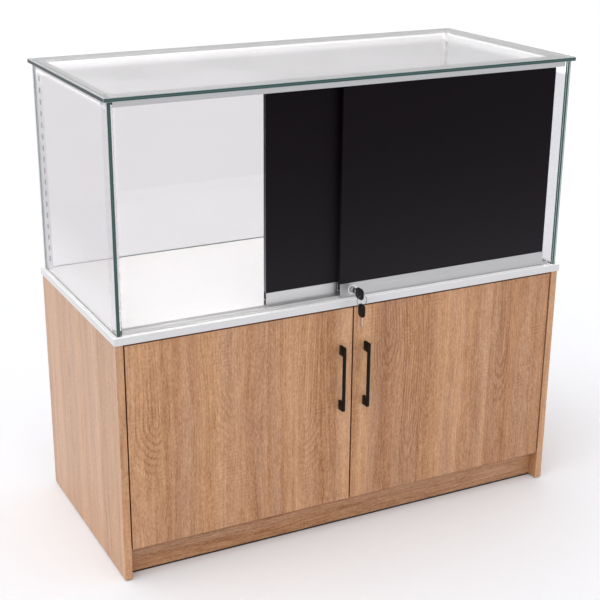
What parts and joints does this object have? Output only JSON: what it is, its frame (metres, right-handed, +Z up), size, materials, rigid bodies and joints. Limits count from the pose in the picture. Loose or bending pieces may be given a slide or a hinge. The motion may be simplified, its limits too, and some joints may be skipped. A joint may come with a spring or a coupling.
{
  "type": "glass display counter",
  "caption": "Free-standing shop counter: a lit glass case with sliding black panels and a key lock, over an oak-look cupboard with hinged doors and black bow handles.",
  "frame": {"origin": "on the floor, at the middle of the bounding box in X and Y", "axes": "+X along the counter to the operator's right, +Y from the operator's side towards the customer, +Z up"},
  "size_m": [1.06, 0.534, 1.004],
  "materials": {
    "oak_board": "oak-look melamine-faced board, satin, straight grain",
    "white_board": "white melamine-faced board, satin",
    "black_board": "black melamine-faced board, matt",
    "clear_glass": "clear float glass, polished edges with a green cast",
    "jamb_plastic": "pale translucent profile",
    "white_metal": "white powder coat",
    "aluminium": "satin anodised extrusion",
    "diffuser": "opal diffuser, lit",
    "white_plastic": "white, satin",
    "grey_plastic": "grey moulded cap",
    "black_metal": "black powder coat, matt",
    "black_plastic": "black moulded key head",
    "steel": "bright zinc plate",
    "chrome": "polished chrome plate",
    "nylon": "moulded nylon, black"
  },
  "bodies": {
    "cabinet": {"left_side_panel": "oak_board", "right_side_panel": "oak_board", "bottom_board": "oak_board", "rear_panel": "oak_board", "centre_partition": "oak_board", "front_plinth": "oak_board", "front_stretcher": "oak_board", "rear_stretcher": "oak_board", "left_shelf": "oak_board", "right_shelf": "oak_board", "shelf_pins": "steel", "deck_board": "white_board", "floor_glides": "nylon", "hinge_plates": "steel", "hinge_arms": "steel", "left_glass": "clear_glass", "right_glass": "clear_glass", "rear_glass": "clear_glass", "top_glass": "clear_glass", "jamb_strips": "jamb_plastic", "left_standard": "white_metal", "right_standard": "white_metal", "top_track": "aluminium", "bottom_track": "aluminium", "light_channels": "white_metal", "light_diffusers": "diffuser", "led_boards": "white_plastic", "light_end_caps": "grey_plastic", "led_driver": "white_plastic"},
    "left_door": {"left_door": "oak_board", "left_handle": "black_metal", "left_handle_screws": "steel", "left_hinge_cups": "steel", "left_hinge_pins": "steel"},
    "right_door": {"right_door": "oak_board", "right_handle": "black_metal", "right_handle_screws": "steel", "right_hinge_cups": "steel", "right_hinge_pins": "steel"},
    "outer_door": {"outer_door_panel": "black_board", "outer_door_rail": "aluminium", "outer_roller_axles": "steel", "lock_housing": "chrome"},
    "outer_left_roller": {"outer_left_roller": "nylon"},
    "outer_right_roller": {"outer_right_roller": "nylon"},
    "inner_door": {"inner_door_panel": "black_board", "inner_door_rail": "aluminium", "inner_roller_axles": "steel", "inner_door_strike": "steel"},
    "inner_left_roller": {"inner_left_roller": "nylon"},
    "inner_right_roller": {"inner_right_roller": "nylon"},
    "lock_plunger": {"lock_plunger": "chrome"},
    "key": {"lock_plug": "chrome", "key_blade": "steel", "key_bow": "black_plastic"},
    "key_ring": {"key_ring": "steel"},
    "spare_key": {"spare_key_blade": "steel", "spare_key_bow": "black_plastic"}
  },
  "joints": [
    {"name": "outer_door_slide", "type": "slide", "parent": "cabinet", "child": "outer_door", "axis": [1, 0, 0], "range_m": [-0.4805, 0.0205]},
    {"name": "inner_door_slide", "type": "slide", "parent": "cabinet", "child": "inner_door", "axis": [1, 0, 0], "range_m": [-0.318, 0.178]},
    {"name": "outer_left_roller_spin", "type": "hinge", "parent": "outer_door", "child": "outer_left_roller", "pos_m": [0.031, -0.208, 0.5498], "axis": [0, 1, 0], "continuous": true},
    {"name": "outer_right_roller_spin", "type": "hinge", "parent": "outer_door", "child": "outer_right_roller", "pos_m": [0.429, -0.208, 0.5498], "axis": [0, 1, 0], "continuous": true},
    {"name": "inner_left_roller_spin", "type": "hinge", "parent": "inner_door", "child": "inner_left_roller", "pos_m": [-0.1315, -0.191, 0.5498], "axis": [0, 1, 0], "continuous": true},
    {"name": "inner_right_roller_spin", "type": "hinge", "parent": "inner_door", "child": "inner_right_roller", "pos_m": [0.2665, -0.191, 0.5498], "axis": [0, 1, 0], "continuous": true},
    {"name": "left_door_hinge", "type": "hinge", "parent": "cabinet", "child": "left_door", "pos_m": [-0.494, -0.213, 0.295], "axis": [0, 0, -1], "range_deg": [0, 110]},
    {"name": "right_door_hinge", "type": "hinge", "parent": "cabinet", "child": "right_door", "pos_m": [0.494, -0.213, 0.295], "axis": [0, 0, 1], "range_deg": [0, 110]},
    {"name": "lock_push", "type": "slide", "parent": "outer_door", "child": "lock_plunger", "axis": [0, 1, 0], "range_m": [0, 0.006], "stiffness_N_per_m": 400, "springref_m": -0.004},
    {"name": "key_turn", "type": "hinge", "parent": "lock_plunger", "child": "key", "pos_m": [0, -0.228, 0.557], "axis": [0, 1, 0], "range_deg": [0, 90]},
    {"name": "key_ring_swing", "type": "hinge", "parent": "key", "child": "key_ring", "pos_m": [0, -0.2555, 0.5561], "axis": [1, 0, 0], "range_deg": [-60, 12]},
    {"name": "spare_key_swing", "type": "hinge", "parent": "key_ring", "child": "spare_key", "pos_m": [0, -0.2555, 0.5341], "axis": [1, 0, 0], "range_deg": [-60, 8]}
  ],
  "couplings": [
    {"joint": "outer_left_roller_spin", "follows": "outer_door_slide", "rad_per_m": 222.22},
    {"joint": "outer_right_roller_spin", "follows": "outer_door_slide", "rad_per_m": 222.22},
    {"joint": "inner_left_roller_spin", "follows": "inner_door_slide", "rad_per_m": 222.22},
    {"joint": "inner_right_roller_spin", "follows": "inner_door_slide", "rad_per_m": 222.22}
  ]
}
